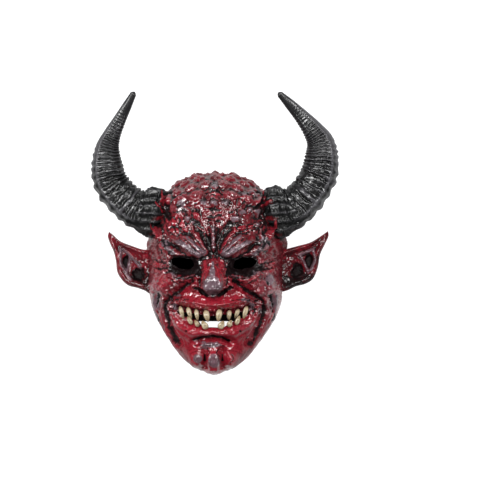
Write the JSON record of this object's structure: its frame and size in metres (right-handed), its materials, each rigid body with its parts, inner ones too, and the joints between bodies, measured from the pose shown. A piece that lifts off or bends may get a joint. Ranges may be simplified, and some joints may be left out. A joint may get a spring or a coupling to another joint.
{
  "type": "devil mask",
  "caption": "Full-head rubber devil mask with tall curved horns, pointed ears, scaled crown, frowning brow and bared teeth.",
  "frame": {"origin": "on the flat spot at the back of the head, which the mask lies on, in its middle across the head", "axes": "+Z out of the face, +Y from the chin to the crown, +X to the right of somebody who looks at the face"},
  "size_m": [0.3257, 0.3696, 0.225],
  "materials": {
    "red_latex": "glossy deep red paint with a black wash and grey dry brushing",
    "horn": "charcoal paint with paler ridges, half gloss",
    "tooth": "ivory paint with olive and brown stains, glossy"
  },
  "bodies": {
    "root": {"devil_mask": "red_latex"}
  },
  "joints": []
}
